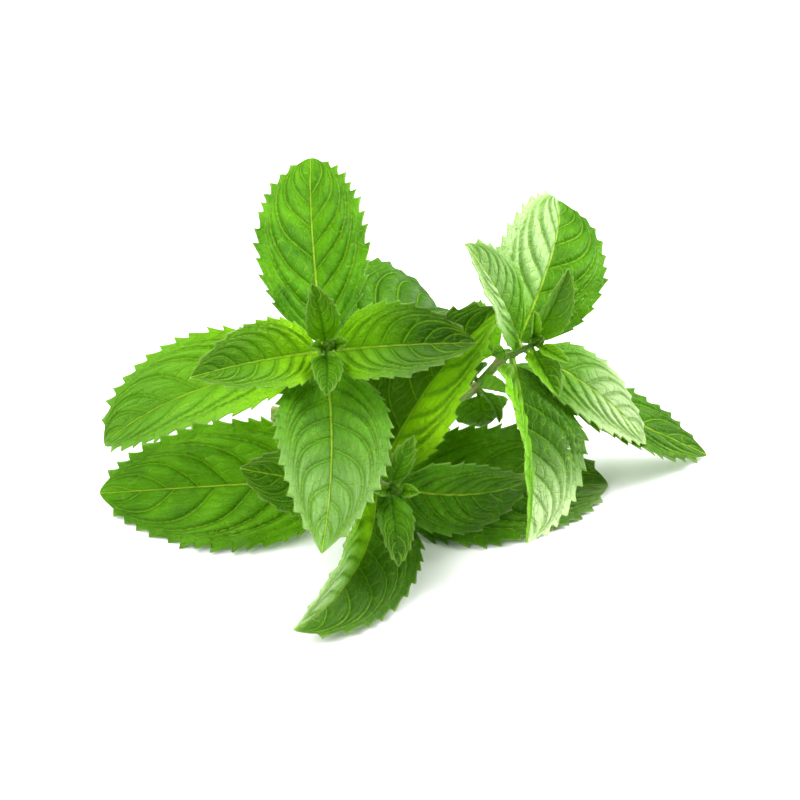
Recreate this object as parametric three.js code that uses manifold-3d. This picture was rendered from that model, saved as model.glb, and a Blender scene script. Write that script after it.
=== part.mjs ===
// A fresh spearmint sprig lying on a level surface. A main stem rises from its cut end at the
// back into the right-hand shoot, and two side shoots branch from it, one on the left and one
// in front. Every shoot carries opposite leaves in crossed pairs, which close up towards a
// terminal bud. Each leaf, stem and bud is a solid of its own.
//
// Millimetres, +Z up. The origin is on the surface, under the middle of the sprig.

import * as THREE from 'three';
import { mergeVertices } from 'three/addons/utils/BufferGeometryUtils.js';
import Module from 'manifold-3d';

// ---------------------------------------------------------------------------------------------
// Driving dimensions

const CLEARANCE = 0.3; // gap between pieces that touch
const LEAF_ROOT_GAP = 0.5; // from the stem's surface to the upper face of a leaf's root
const STEM_SIDES = 8;
const STEPS_PER_INTERNODE = 3;

const MIDRIB_THICKNESS = 0.8; // of a leaf, along its middle
const MARGIN_THICKNESS = 0.4; // of a leaf, along its edge
const PETIOLE_WIDTH = 1.4;
const PETIOLE_BASE_LENGTH = 0.7;
const PETIOLE_PER_LENGTH = 0.028; // a longer leaf has a longer leaf stalk
const TIP_HALF_WIDTH = 0.3;
const ROOT_FOLD = 0.4; // a blade starts with this share of its fold
const FULL_FOLD_AT = 0.4; // and has all of it this share of the way to the tip
const OUTLINE_BASE_POWER = 0.62; // a leaf's half width grows as u^0.62 from its base
const OUTLINE_TIP_POWER = 0.86; // and closes as (1 - u)^0.86 to its tip
const SMALL_BASE_POWER = 0.46; // a small leaf is rounder at its base
const MIDRIB_STEPS = 24;
const LARGE_LEAF = { rows: 12, columns: 2 }; // columns on each side of the midrib
const SMALL_LEAF = { longest: 30, rows: 8, columns: 1 };

// A terminal bud's outline, as [radius, height above its foot].
const BUD_PROFILE = [[0, 0], [0.6, 0], [0.95, 0.9], [0.85, 1.8], [0.4, 2.8], [0, 3.2]];
const BUD_SIDES = 8;

const LEAF_GREEN = 0x5f9a34;
const YOUNG_GREEN = 0x9cc24e;
const STEM_GREEN = 0xa9b98a;
const YOUNG_LEAF_LENGTH = 24;

// Each stem is a list of its nodes from the tip back: [x, y, z, radius]. The first is under the
// terminal bud, and the leaf pairs are counted from there.
const MAIN_STEM = [
  [36, 1.5, 54, 0.5],
  [35, 4, 51.5, 0.7],
  [33.5, 6.5, 48.5, 0.9],
  [30.5, 10, 44.5, 1.1],
  [27, 14.5, 39, 1.3],
  [20.5, 23.5, 23.5, 1.5],
  [13.5, 30, 12, 1.6],
  [5.5, 35.5, 4.5, 1.7],
  [-4.5, 36, 2.2, 1.8],
  [-22, 38.5, 2, 1.85],
  [-41.5, 40.5, 2, 1.9],
];
const LEFT_STEM = [
  [-22, -4.5, 56.5, 0.5],
  [-22.5, -2.5, 54.5, 0.7],
  [-23, 1, 51.5, 0.9],
  [-23.5, 5.5, 47.5, 1.1],
  [-25.5, 16, 37, 1.3],
  [-24.5, 29.5, 20, 1.4],
  [-22, 38.5, 2, 1.5],
];
const FRONT_STEM = [
  [-3.5, -33.5, 29, 0.5],
  [-4.5, -30, 26.5, 0.7],
  [-6, -25, 23.5, 0.9],
  [-8.5, -12.5, 15.5, 1.1],
  [-12.5, -5.5, 10, 1.3],
  [-9.5, 13.5, 4.5, 1.4],
  [-4.5, 36, 2.2, 1.5],
];

// Each leaf is told by its node and by these, in degrees and millimetres:
//   turn    where it stands around the stem, from straight up, clockwise as seen from the tip
//   spread  the angle it leaves the stem's direction by
//   roll    how far its face is turned about its own midrib
//   length, width  of the blade
//   droop   how far the blade curves away from its upper face, more towards the tip
//   bend    how far the midrib curves sideways, to the leaf's left
//   twist   how far the blade turns about its midrib on the way to the tip
//   fold    how far each half is folded up from the flat
//   cup     how much more it is folded at the margin than at the midrib
//   petiole the length of the leaf stalk, where the leaf's own length doesn't set it
//   along   how far beyond its node the leaf stands, for one in the axil of another
const LEFT_LEAVES = [
  { name: '1_left', node: 0, turn: 267, spread: 36, length: 6.5, width: 4, fold: 15, cup: -10 },
  { name: '1_right', node: 0, turn: 94, spread: 29, roll: 5, length: 6.5, width: 4, droop: -5,
    bend: -5, twist: 5, fold: 15, cup: -5 },
  { name: '2_up', node: 1, turn: 354, spread: 44, roll: -5, length: 20, width: 10, droop: 5,
    bend: 10, twist: -5, fold: 15, cup: -5 },
  { name: '2_down', node: 1, turn: 188, spread: 47, length: 16, width: 9, droop: 10, bend: -5,
    fold: 15, cup: -5 },
  { name: '3_left', node: 2, turn: 263, spread: 58, roll: -5, length: 41, petiole: 0.9, width: 23,
    droop: 15, bend: 5, twist: -5, fold: 25, cup: 10 },
  { name: '3_right', node: 2, turn: 93, spread: 60, roll: 10, length: 42, petiole: 0.9, width: 25,
    droop: 15, fold: 25, cup: 5 },
  { name: '4_up', node: 3, turn: 0, spread: 96, roll: 7, length: 65, width: 33, droop: 37,
    bend: -4, twist: 5, fold: 22, cup: -11 },
  { name: '4_down', node: 3, turn: 181, spread: 59, roll: 5, length: 64, width: 34, droop: 5,
    bend: -15, fold: 20 },
  { name: '5_left', node: 4, turn: 264, spread: 88, roll: -15, length: 69, width: 32, droop: 55,
    bend: 10, twist: 10, fold: 25, cup: 5 },
  { name: '5_right', node: 4, turn: 42, spread: 103, roll: 15, length: 63, width: 36, droop: 85,
    bend: -15, fold: 20 },
];
const FRONT_LEAVES = [
  { name: '1_left', node: 0, turn: 275, spread: 46, length: 7, width: 3.5, droop: 5, fold: 15,
    cup: -5 },
  { name: '1_right', node: 0, turn: 109, spread: 36, roll: 5, length: 7, width: 4, droop: -10,
    fold: 15, cup: -10 },
  { name: '2_up', node: 1, turn: 18, spread: 48, roll: 5, length: 18, width: 7, bend: -5,
    twist: 5, fold: 10, cup: -10 },
  { name: '2_down', node: 1, turn: 190, spread: 55, roll: 5, length: 21, width: 11, droop: 10,
    twist: 5, fold: 15, cup: -5 },
  { name: '3_right', node: 2, turn: 110, spread: 90, roll: -20, length: 41, width: 24, droop: 30,
    bend: 20, twist: -15, fold: 15, cup: -5 },
  { name: '3_left', node: 2, turn: 281, spread: 89, roll: 5, length: 32, petiole: 7.5, width: 21,
    droop: 15, bend: -5, twist: 10, fold: 20 },
  { name: '4_up', node: 3, turn: 30, spread: 76, roll: 25, length: 58, width: 33, droop: 10,
    bend: -25, twist: 20, fold: 30, cup: 5 },
  { name: '4_down', node: 3, turn: 202, spread: 51, roll: 18, length: 56, width: 33, droop: 30,
    bend: -40, twist: 19, fold: 26, cup: 27 },
  { name: '5_left', node: 4, turn: 275, spread: 79, roll: -25, length: 75, width: 39, droop: 45,
    bend: 5, twist: 20, fold: 20 },
  { name: '5_right', node: 4, turn: 95, spread: 86, roll: 10, length: 70, width: 39, droop: 30,
    bend: 10, twist: 20, fold: 25, cup: 10 },
];
const MAIN_LEAVES = [
  { name: '1_up', node: 0, turn: 345, spread: 30, roll: 5, length: 11, width: 4, droop: 5,
    fold: 40, cup: -10 },
  { name: '1_down', node: 0, turn: 150, spread: 48, length: 10.5, width: 4.5, droop: 10, bend: 5,
    fold: 20, cup: -10 },
  { name: '2_up', node: 1, turn: 43, spread: 47, roll: -20, length: 22, width: 12, droop: 20,
    bend: 5, fold: 30, cup: 5 },
  { name: '2_down', node: 1, turn: 187, spread: 59, roll: -5, length: 17, width: 10, droop: 5,
    bend: 5, fold: 35, cup: -10 },
  { name: '3_left', node: 2, turn: 327, spread: 47, roll: -13, length: 42, width: 23.5, droop: 18,
    bend: -6, twist: -6, fold: 21, cup: -18 },
  { name: '3_right', node: 2, turn: 139, spread: 85, roll: 9, length: 46, width: 23, droop: 30,
    bend: -5, twist: 12, fold: 8, cup: -10 },
  { name: '4_up', node: 3, turn: 47, spread: 72, roll: 19, length: 55, width: 34, droop: 60,
    bend: 4, twist: -21, fold: 21, cup: -11 },
  { name: '4_down', node: 3, turn: 211, spread: 68, roll: 10, length: 58, width: 36, droop: 15,
    bend: -5, twist: 25, fold: 30, cup: -5 },
  { name: '5_right', node: 4, turn: 137, spread: 90, roll: 38, length: 70, width: 27, droop: 9,
    bend: 15, twist: -24, fold: 12, cup: -14 },
  { name: '5_left', node: 4, turn: -2, spread: 116, roll: 40, length: 24, width: 16, droop: 50,
    bend: -25, twist: 5, fold: 20 },
  { name: '5_axil', node: 4, along: 8.4, turn: 280, spread: 75, roll: -5, length: 5, width: 5,
    droop: 10, bend: 14, fold: 10, cup: -10 },
  { name: '6_down', node: 5, turn: 190, spread: 119, roll: -25, length: 12.5, width: 17.5,
    droop: 60, bend: 15, fold: 0, cup: -30 },
  { name: '6_up', node: 5, along: 4, turn: 318, spread: 37, roll: 20, length: 9, width: 10,
    droop: -5, bend: 5, twist: 30, fold: 20 },
  { name: '6_axil_lower', node: 5, along: 1.5, turn: 182, spread: 57, roll: 10, length: 11.5,
    width: 5, droop: 45, bend: -15, twist: 5, fold: 25, cup: -5 },
  { name: '6_axil_upper', node: 5, along: 5.5, turn: 215, spread: 31, roll: 20, length: 13,
    width: 9, droop: -20, bend: 28, twist: 20, fold: 30 },
];

// ---------------------------------------------------------------------------------------------
// Shared geometry

const UP = new THREE.Vector3(0, 0, 1);
const radians = THREE.MathUtils.degToRad;

// The unit vector at an angle from one unit vector towards another that is square to it.
function between(from, towards, degrees) {
  return from.clone().multiplyScalar(Math.cos(radians(degrees)))
    .addScaledVector(towards, Math.sin(radians(degrees)));
}

// The part of a vector that is square to a direction, at unit length.
function squareTo(direction, vector) {
  return vector.clone().addScaledVector(direction, -vector.dot(direction)).normalize();
}

// A closed solid through a list of sections, each a ring of the same even number of points,
// wound clockwise as seen from outside the first section. Quads across the ring close each end.
function loft(sections) {
  const around = sections[0].length;
  const last = (sections.length - 1) * around;
  const index = [];
  for (let start = 0; start < last; start += around) {
    for (let k = 0; k < around; k += 1) {
      const a = start + k;
      const b = start + ((k + 1) % around);
      index.push(a, b, b + around, a, b + around, a + around);
    }
  }
  for (let k = 0; k < around / 2 - 1; k += 1) {
    const [a, b, c, d] = [k, k + 1, around - 2 - k, around - 1 - k];
    index.push(a, c, b, a, d, c);
    index.push(last + a, last + b, last + c, last + a, last + c, last + d);
  }
  const geometry = new THREE.BufferGeometry().setFromPoints(sections.flat());
  geometry.setIndex(index);
  return geometry;
}

// ---------------------------------------------------------------------------------------------
// Stems

// The point, the direction towards the tip and the radius at one node of a stem.
function nodeFrame(nodes, node) {
  const [x, y, z, radius] = nodes[node];
  const towardsTip = new THREE.Vector3(...nodes[Math.max(node - 1, 0)]);
  const back = new THREE.Vector3(...nodes[node + 1]);
  return { point: new THREE.Vector3(x, y, z), axis: towardsTip.sub(back).normalize(), radius };
}

// A tapering stem along a smooth curve through its nodes, its surface moved out by a margin.
function stemSolid(nodes, margin = 0) {
  const curve = new THREE.CatmullRomCurve3(
    nodes.map(([x, y, z]) => new THREE.Vector3(x, y, z)), false, 'catmullrom');
  const steps = (nodes.length - 1) * STEPS_PER_INTERNODE;
  const sections = [];
  let side = new THREE.Vector3(0, 1, 0);
  for (let step = 0; step <= steps; step += 1) {
    const centre = curve.getPoint(step / steps);
    const tangent = curve.getTangent(step / steps);
    side = squareTo(tangent, side);
    const otherSide = new THREE.Vector3().crossVectors(tangent, side);
    const node = Math.min(Math.floor(step / STEPS_PER_INTERNODE), nodes.length - 2);
    const share = step / STEPS_PER_INTERNODE - node;
    const radius = THREE.MathUtils.lerp(nodes[node][3], nodes[node + 1][3], share) + margin;
    const ring = [];
    for (let k = 0; k < STEM_SIDES; k += 1) {
      const outward = between(side, otherSide, (360 * k) / STEM_SIDES);
      ring.push(centre.clone().addScaledVector(outward, radius));
    }
    sections.push(ring);
  }
  return loft(sections);
}

const wasm = await Module();
wasm.setup();

function toManifold(geometry) {
  const merged = mergeVertices(geometry);
  return new wasm.Manifold(new wasm.Mesh({
    numProp: 3,
    vertProperties: new Float32Array(merged.getAttribute('position').array),
    triVerts: new Uint32Array(merged.getIndex().array),
  }));
}

// A side shoot's stem starts in a saddle on the main stem, just clear of it. Its list of nodes
// runs to the main stem's middle, so the part beyond the saddle is cut away.
function sideStemSolid(nodes) {
  const saddle = toManifold(stemSolid(MAIN_STEM, CLEARANCE));
  const pieces = toManifold(stemSolid(nodes)).subtract(saddle).decompose();
  const mesh = pieces.reduce((a, b) => (a.volume() > b.volume() ? a : b)).getMesh();
  const geometry = new THREE.BufferGeometry();
  geometry.setAttribute('position', new THREE.BufferAttribute(mesh.vertProperties, 3));
  geometry.setIndex(new THREE.BufferAttribute(mesh.triVerts, 1));
  return geometry;
}

// ---------------------------------------------------------------------------------------------
// Leaves

function petioleLength(leaf) {
  return leaf.petiole ?? PETIOLE_BASE_LENGTH + PETIOLE_PER_LENGTH * leaf.length;
}

// Half the width of a leaf at a share of the way from its root to its tip.
function halfWidth(leaf, share) {
  const petioleShare = petioleLength(leaf) / (petioleLength(leaf) + leaf.length);
  const u = (share - petioleShare) / (1 - petioleShare);
  if (u <= 0) return PETIOLE_WIDTH / 2;
  const basePower = leaf.length < SMALL_LEAF.longest ? SMALL_BASE_POWER : OUTLINE_BASE_POWER;
  const outline = (v) => v ** basePower * (1 - v) ** OUTLINE_TIP_POWER;
  const widest = basePower / (basePower + OUTLINE_TIP_POWER);
  return Math.max((leaf.width / 2) * (outline(u) / outline(widest)), TIP_HALF_WIDTH);
}

// The frames along a leaf's midrib. The leaf starts at the origin and sets out along +Y, with
// its upper face towards +Z and its left side towards -X.
function midribFrames(leaf) {
  const stepLength = (petioleLength(leaf) + leaf.length) / MIDRIB_STEPS;
  const point = new THREE.Vector3();
  let forward = new THREE.Vector3(0, 1, 0);
  let normal = new THREE.Vector3(0, 0, 1);
  let left = new THREE.Vector3(-1, 0, 0);
  const frames = [{ point: point.clone(), normal, left }];
  for (let step = 0.5; step < MIDRIB_STEPS; step += 1) {
    const down = radians(leaf.droop * (0.5 + step / MIDRIB_STEPS)) / MIDRIB_STEPS;
    const sideways = radians(leaf.bend) / MIDRIB_STEPS;
    const turning = radians(leaf.twist) / MIDRIB_STEPS;
    const before = forward;
    forward = forward.clone().addScaledVector(normal, -down).addScaledVector(left, sideways);
    forward.normalize();
    normal = normal.clone().addScaledVector(before, down).addScaledVector(left, turning);
    normal = squareTo(forward, normal);
    left = new THREE.Vector3().crossVectors(normal, forward);
    point.addScaledVector(before.clone().add(forward).normalize(), stepLength);
    frames.push({ point: point.clone(), normal, left });
  }
  return frames;
}

// One section of a blade: its upper face from left to right, then its lower face back again.
function bladeSection(leaf, share, { point, normal, left }, columns) {
  const half = halfWidth(leaf, share);
  const folded = THREE.MathUtils.lerp(ROOT_FOLD, 1, Math.min(share / FULL_FOLD_AT, 1));
  const upper = [];
  const lower = [];
  for (let column = columns; column >= -columns; column -= 1) {
    const across = Math.abs(column) / columns;
    const rise = radians(leaf.fold + (leaf.cup * across) / 2) * folded;
    const thickness = THREE.MathUtils.lerp(MIDRIB_THICKNESS, MARGIN_THICKNESS, across);
    const top = point.clone().addScaledVector(left, (column / columns) * half * Math.cos(rise))
      .addScaledVector(normal, across * half * Math.sin(rise));
    upper.push(top);
    lower.push(top.clone().addScaledVector(normal, -thickness));
  }
  return [...upper, ...lower.reverse()];
}

function leafSolid(leaf) {
  const { rows, columns } = leaf.length < SMALL_LEAF.longest ? SMALL_LEAF : LARGE_LEAF;
  const frames = midribFrames(leaf);
  const sections = [];
  for (let row = 0; row <= rows; row += 1) {
    const step = (row * MIDRIB_STEPS) / rows;
    sections.push(bladeSection(leaf, step / MIDRIB_STEPS, frames[step], columns));
  }
  return loft(sections);
}

// Sets a leaf on its stem, its root just clear of the surface.
function placeLeaf(mesh, nodes, leaf) {
  const { point, axis, radius } = nodeFrame(nodes, leaf.node);
  const upward = squareTo(axis, UP);
  const outward = between(upward, new THREE.Vector3().crossVectors(upward, axis), leaf.turn);
  const forward = between(axis, outward, leaf.spread);
  const flatNormal = between(axis, outward, leaf.spread - 90);
  const flatLeft = new THREE.Vector3().crossVectors(flatNormal, forward);
  const normal = between(flatNormal, flatLeft, leaf.roll);
  const right = new THREE.Vector3().crossVectors(forward, normal);
  mesh.position.copy(point).addScaledVector(outward, radius + LEAF_ROOT_GAP)
    .addScaledVector(axis, leaf.along);
  mesh.quaternion.setFromRotationMatrix(new THREE.Matrix4().makeBasis(right, forward, normal));
}

// ---------------------------------------------------------------------------------------------
// Buds

function budMesh(nodes, name) {
  const profile = BUD_PROFILE.map(([radius, height]) => new THREE.Vector2(radius, height));
  const bud = new THREE.Mesh(new THREE.LatheGeometry(profile, BUD_SIDES), youngMaterial);
  const { point, axis } = nodeFrame(nodes, 0);
  bud.position.copy(point).addScaledVector(axis, CLEARANCE);
  bud.quaternion.setFromUnitVectors(new THREE.Vector3(0, 1, 0), axis);
  bud.name = name;
  return bud;
}

// ---------------------------------------------------------------------------------------------
// Assembly

const leafMaterial = new THREE.MeshStandardMaterial({ color: LEAF_GREEN, roughness: 0.5 });
const youngMaterial = new THREE.MeshStandardMaterial({ color: YOUNG_GREEN, roughness: 0.45 });
const stemMaterial = new THREE.MeshStandardMaterial({ color: STEM_GREEN, roughness: 0.6 });

// One shoot: its stem, its leaves and its terminal bud.
function shoot(name, nodes, stemGeometry, leaves) {
  const group = new THREE.Group();
  const stem = new THREE.Mesh(stemGeometry, stemMaterial);
  stem.name = `${name}_stem`;
  group.add(stem, budMesh(nodes, `${name}_bud`));
  for (const entry of leaves) {
    const leaf = { roll: 0, droop: 0, bend: 0, twist: 0, cup: 0, along: 0, ...entry };
    const material = leaf.length < YOUNG_LEAF_LENGTH ? youngMaterial : leafMaterial;
    const mesh = new THREE.Mesh(leafSolid(leaf), material);
    mesh.name = `${name}_leaf_${leaf.name}`;
    placeLeaf(mesh, nodes, leaf);
    group.add(mesh);
  }
  return group;
}

const sprig = new THREE.Group();
sprig.add(
  shoot('main', MAIN_STEM, stemSolid(MAIN_STEM), MAIN_LEAVES),
  shoot('left', LEFT_STEM, sideStemSolid(LEFT_STEM), LEFT_LEAVES),
  shoot('front', FRONT_STEM, sideStemSolid(FRONT_STEM), FRONT_LEAVES),
);

export default sprig;
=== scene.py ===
"""A fresh spearmint sprig lying on a white surface, built around its CAD frame.

Every leaf, stem and bud of the frame is replaced by a finished piece of the same place and size:
leaves with a toothed margin, sunken veins and a quilted blade, square stems with a cut end, and
buds of tiny folded leaves. Lengths are in millimetres and angles in degrees until a mesh is made,
and then in metres.
"""
import math
import random
from typing import NamedTuple

import bpy
import numpy as np
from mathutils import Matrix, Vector


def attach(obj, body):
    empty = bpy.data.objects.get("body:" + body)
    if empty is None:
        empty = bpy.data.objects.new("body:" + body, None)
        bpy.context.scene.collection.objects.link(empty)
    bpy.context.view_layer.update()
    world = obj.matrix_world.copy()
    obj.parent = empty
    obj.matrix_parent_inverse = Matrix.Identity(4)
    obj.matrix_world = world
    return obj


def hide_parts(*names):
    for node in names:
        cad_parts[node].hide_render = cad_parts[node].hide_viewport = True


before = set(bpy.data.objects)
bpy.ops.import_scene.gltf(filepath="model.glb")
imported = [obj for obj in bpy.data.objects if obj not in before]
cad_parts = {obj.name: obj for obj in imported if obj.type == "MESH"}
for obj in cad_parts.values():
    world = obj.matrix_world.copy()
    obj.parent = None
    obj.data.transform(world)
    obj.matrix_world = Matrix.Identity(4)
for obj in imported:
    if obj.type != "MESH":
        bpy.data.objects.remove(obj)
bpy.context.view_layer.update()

MM = 0.001

# ---------------------------------------------------------------------------------------------
# Driving dimensions, as in the CAD source

LEAF_ROOT_GAP = 0.5  # from the stem's surface to the upper face of a leaf's root
PETIOLE_WIDTH = 1.4
PETIOLE_BASE_LENGTH = 0.7
PETIOLE_PER_LENGTH = 0.028
ROOT_FOLD = 0.4  # a blade starts with this share of its fold
FULL_FOLD_AT = 0.4  # and has all of it this share of the way to the tip
OUTLINE_BASE_POWER = 0.62
SMALL_BASE_POWER = 0.46  # a small leaf is rounder at its base
OUTLINE_TIP_POWER = 0.86

# Each stem is a list of its nodes from the tip back: (x, y, z, radius).
MAIN_STEM = [
    (36, 1.5, 54, 0.5),
    (35, 4, 51.5, 0.7),
    (33.5, 6.5, 48.5, 0.9),
    (30.5, 10, 44.5, 1.1),
    (27, 14.5, 39, 1.3),
    (20.5, 23.5, 23.5, 1.5),
    (13.5, 30, 12, 1.6),
    (5.5, 35.5, 4.5, 1.7),
    (-4.5, 36, 2.2, 1.8),
    (-22, 38.5, 2, 1.85),
    (-41.5, 40.5, 2, 1.9),
]
LEFT_STEM = [
    (-22, -4.5, 56.5, 0.5),
    (-22.5, -2.5, 54.5, 0.7),
    (-23, 1, 51.5, 0.9),
    (-23.5, 5.5, 47.5, 1.1),
    (-25.5, 16, 37, 1.3),
    (-24.5, 29.5, 20, 1.4),
    (-22, 38.5, 2, 1.5),
]
FRONT_STEM = [
    (-3.5, -33.5, 29, 0.5),
    (-4.5, -30, 26.5, 0.7),
    (-6, -25, 23.5, 0.9),
    (-8.5, -12.5, 15.5, 1.1),
    (-12.5, -5.5, 10, 1.3),
    (-9.5, 13.5, 4.5, 1.4),
    (-4.5, 36, 2.2, 1.5),
]


class Leaf(NamedTuple):
    """Where a leaf stands and how it curves, as in the CAD source, and then how it looks."""

    name: str
    node: int  # counted from the stem's tip
    turn: float  # where it stands around the stem, from straight up, clockwise as seen from the tip
    spread: float  # the angle it leaves the stem's direction by
    roll: float  # how far its face is turned about its own midrib
    length: float  # of the blade
    width: float
    droop: float  # how far the blade curves away from its upper face
    bend: float  # how far the midrib curves to the leaf's left
    twist: float  # how far the blade turns about its midrib on the way to the tip
    fold: float  # how far each half is folded up from the flat
    cup: float  # how much more it is folded at the margin than at the midrib
    petiole: float = 0  # 0 for the length that follows from the leaf's own
    along: float = 0  # how far beyond its node the leaf stands
    yellow: float = 0  # how yellow the blade is at its base, up to 2
    dark: float = 0  # how dark it is towards its tip: partly its own deeper green, partly painted shade from the leaves above it
    pale: float = 0  # how far a painted highlight washes it out with a whitish colour, up to 2
    pale_half: float = 0  # 1 if the painted highlight is only on its left half, and -1 if only on its right half
    pale_from: float = 0.35  # where on the way to its tip its painted highlight is half as strong as at the tip
    lit: float = 0  # painted light on one half: how much yellower and less dark its left half is than its right, or less if negative


# The columns: name, node, turn, spread, roll, length, width, droop, bend, twist, fold, cup
MAIN_LEAVES = [
    Leaf("1_up", 0, 345, 30, 5, 11, 4, 5, 0, 0, 40, -10, yellow=0.9),
    Leaf("1_down", 0, 150, 48, 0, 10.5, 4.5, 10, 5, 0, 20, -10, yellow=0.9),
    Leaf("2_up", 1, 43, 47, -20, 22, 12, 20, 5, 0, 30, 5, yellow=0.5, dark=1, pale=0.35),
    Leaf("2_down", 1, 187, 59, -5, 17, 10, 5, 5, 0, 35, -10, yellow=0.6, dark=0.4, lit=-0.6),
    Leaf("3_left", 2, 327, 47, -13, 42, 23.5, 18, -6, -6, 21, -18,
         yellow=0.6, pale=1.3, pale_half=0.3, lit=-0.2),
    Leaf("3_right", 2, 139, 85, 9, 46, 23, 30, -5, 12, 8, -10, yellow=0.4, dark=0.1, pale=1.4),
    Leaf("4_up", 3, 47, 72, 19, 55, 34, 60, 4, -21, 21, -11,
         yellow=0.5, pale=1.35, pale_half=1, pale_from=0.2, lit=0.4),
    Leaf("4_down", 3, 211, 68, 10, 58, 36, 15, -5, 25, 30, -5,
         yellow=0.4, dark=0.6, pale=1.7, pale_half=1, pale_from=0.6, lit=-0.7),
    Leaf("5_right", 4, 137, 90, 38, 70, 27, 9, 15, -24, 12, -14, yellow=0.1, dark=0.9, pale=-0.05),
    Leaf("5_left", 4, -2, 116, 40, 24, 16, 50, -25, 5, 20, 0, yellow=1),
    Leaf("5_axil", 4, 280, 75, -5, 5, 5, 10, 14, 0, 10, -10, along=8.4, dark=0.5),
    Leaf("6_down", 5, 190, 119, -25, 12.5, 17.5, 60, 15, 0, 0, -30, dark=0.8),
    Leaf("6_up", 5, 318, 37, 20, 9, 10, -5, 5, 30, 20, 0,
         along=4, yellow=0.2, dark=0.2, pale=0.5, pale_from=0),
    Leaf("6_axil_lower", 5, 182, 57, 10, 11.5, 5, 45, -15, 5, 25, -5,
         along=1.5, yellow=0.2, dark=0.6, pale=0.4),
    Leaf("6_axil_upper", 5, 215, 31, 20, 13, 9, -20, 28, 20, 30, 0, along=5.5, yellow=3),
]
LEFT_LEAVES = [
    Leaf("1_left", 0, 267, 36, 0, 6.5, 4, 0, 0, 0, 15, -10, yellow=0.3, dark=0.5),
    Leaf("1_right", 0, 94, 29, 5, 6.5, 4, -5, -5, 5, 15, -5, yellow=0.3, dark=0.5),
    Leaf("2_up", 1, 354, 44, -5, 20, 10, 5, 10, -5, 15, -5, yellow=0.6, dark=0.8),
    Leaf("2_down", 1, 188, 47, 0, 16, 9, 10, -5, 0, 15, -5, yellow=0.4, dark=0.45),
    Leaf("3_left", 2, 263, 58, -5, 41, 23, 15, 5, -5, 25, 10,
         petiole=0.9, yellow=2, dark=0.7, pale=0.15),
    Leaf("3_right", 2, 93, 60, 10, 42, 25, 15, 0, 0, 25, 5,
         petiole=0.9, yellow=1.3, dark=1.2, pale=0.35, pale_half=-1),
    Leaf("4_up", 3, 0, 96, 7, 65, 33, 37, -4, 5, 22, -11, dark=0.15),
    Leaf("4_down", 3, 181, 59, 5, 64, 34, 5, -15, 0, 20, 0,
         yellow=0.3, dark=0.35, pale=0.75, pale_from=0.45),
    Leaf("5_left", 4, 264, 88, -15, 69, 32, 55, 10, 10, 25, 5, yellow=1.5, pale=0.35),
    Leaf("5_right", 4, 42, 103, 15, 63, 36, 85, -15, 0, 20, 0, yellow=0.2, dark=1, pale=-0.12),
]
FRONT_LEAVES = [
    Leaf("1_left", 0, 275, 46, 0, 7, 3.5, 5, 0, 0, 15, -5, yellow=0.1, dark=0.8),
    Leaf("1_right", 0, 109, 36, 5, 7, 4, -10, 0, 0, 15, -10, yellow=0.1, dark=0.8),
    Leaf("2_up", 1, 18, 48, 5, 18, 7, 0, -5, 5, 10, -10, yellow=0.1, dark=1),
    Leaf("2_down", 1, 190, 55, 5, 21, 11, 10, 0, 5, 15, -5, yellow=0.1, dark=1),
    Leaf("3_right", 2, 110, 90, -20, 41, 24, 30, 20, -15, 15, -5, yellow=0.1, dark=0.85),
    Leaf("3_left", 2, 281, 89, 5, 32, 21, 15, -5, 10, 20, 0, petiole=7.5, yellow=0.1, dark=0.7),
    Leaf("4_up", 3, 30, 76, 25, 58, 33, 10, -25, 20, 30, 5, yellow=1.2, dark=0.9, lit=-1.1),
    Leaf("4_down", 3, 202, 51, 18, 56, 33, 30, -40, 19, 26, 27,
         yellow=1.5, dark=0.1, pale=1.5, pale_half=-0.8, pale_from=0.55, lit=-0.8),
    Leaf("5_left", 4, 275, 79, -25, 75, 39, 45, 5, 20, 20, 0, yellow=0.5, dark=0.1),
    Leaf("5_right", 4, 95, 86, 10, 70, 39, 30, 10, 20, 25, 10,
         yellow=0.1, dark=0.95, pale=1.3, pale_half=-1, pale_from=0.85),
]

# ---------------------------------------------------------------------------------------------
# Finish, in mm where nothing else is said


class LeafKind(NamedTuple):
    """What differs between large leaves and small ones."""

    grid: tuple  # rows from root to tip and columns from margin to margin
    base_power: float
    vein_count: tuple  # the fewest and the most side veins on either half
    vein_clarity: float  # how clearly the veins show, from 0 to 1
    quilting: float  # how far the blade rises between its veins, for each mm of its width
    ladder_step: float  # from one cross vein to the next, along a side vein
    tooth_spacing: float
    least_teeth: int  # on either margin
    tooth_depth: float  # for each mm of the leaf's length
    thickness: float
    rib_share: float  # how thick the midrib and veins are, next to a large leaf's
    midrib_width: float  # half the width of the midrib's pale line, at its base


LARGE_LEAF = LeafKind(
    grid=(150, 55),
    base_power=OUTLINE_BASE_POWER,
    vein_count=(7.2, 8),
    vein_clarity=1,
    quilting=0.04,
    ladder_step=3.2,
    tooth_spacing=5.2,
    least_teeth=4,
    tooth_depth=0.031,
    thickness=0.3,
    rib_share=1,
    midrib_width=0.42,
)
SMALL_LEAF = LeafKind(
    grid=(72, 25),
    base_power=SMALL_BASE_POWER,
    vein_count=(4.2, 5),
    vein_clarity=0.9,
    quilting=0.028,
    ladder_step=1.92,
    tooth_spacing=3.6,
    least_teeth=3,
    tooth_depth=0.03565,
    thickness=0.24,
    rib_share=0.4,
    midrib_width=0.21,
)
SMALL_LEAF_LENGTH = 30  # of the longest small leaf

STALK_ROWS = 4  # more rows, from the stem's inside to the root
STALK_DEPTH = 0.5  # how far into the stem they start, as a share of its radius
STALK_END = 0.06  # the share of the blade's length over which the stalk thins out
STALK_THICKENING = 1.6  # how much thicker a leaf is at its root, as a share of its thickness
BLADE_START = 0.04  # the share of the blade's length over which its relief begins
TIP_HALF_WIDTH = 0.04
LEAST_HEIGHT = 0.15  # of any point of a leaf or stem above the floor

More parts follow.
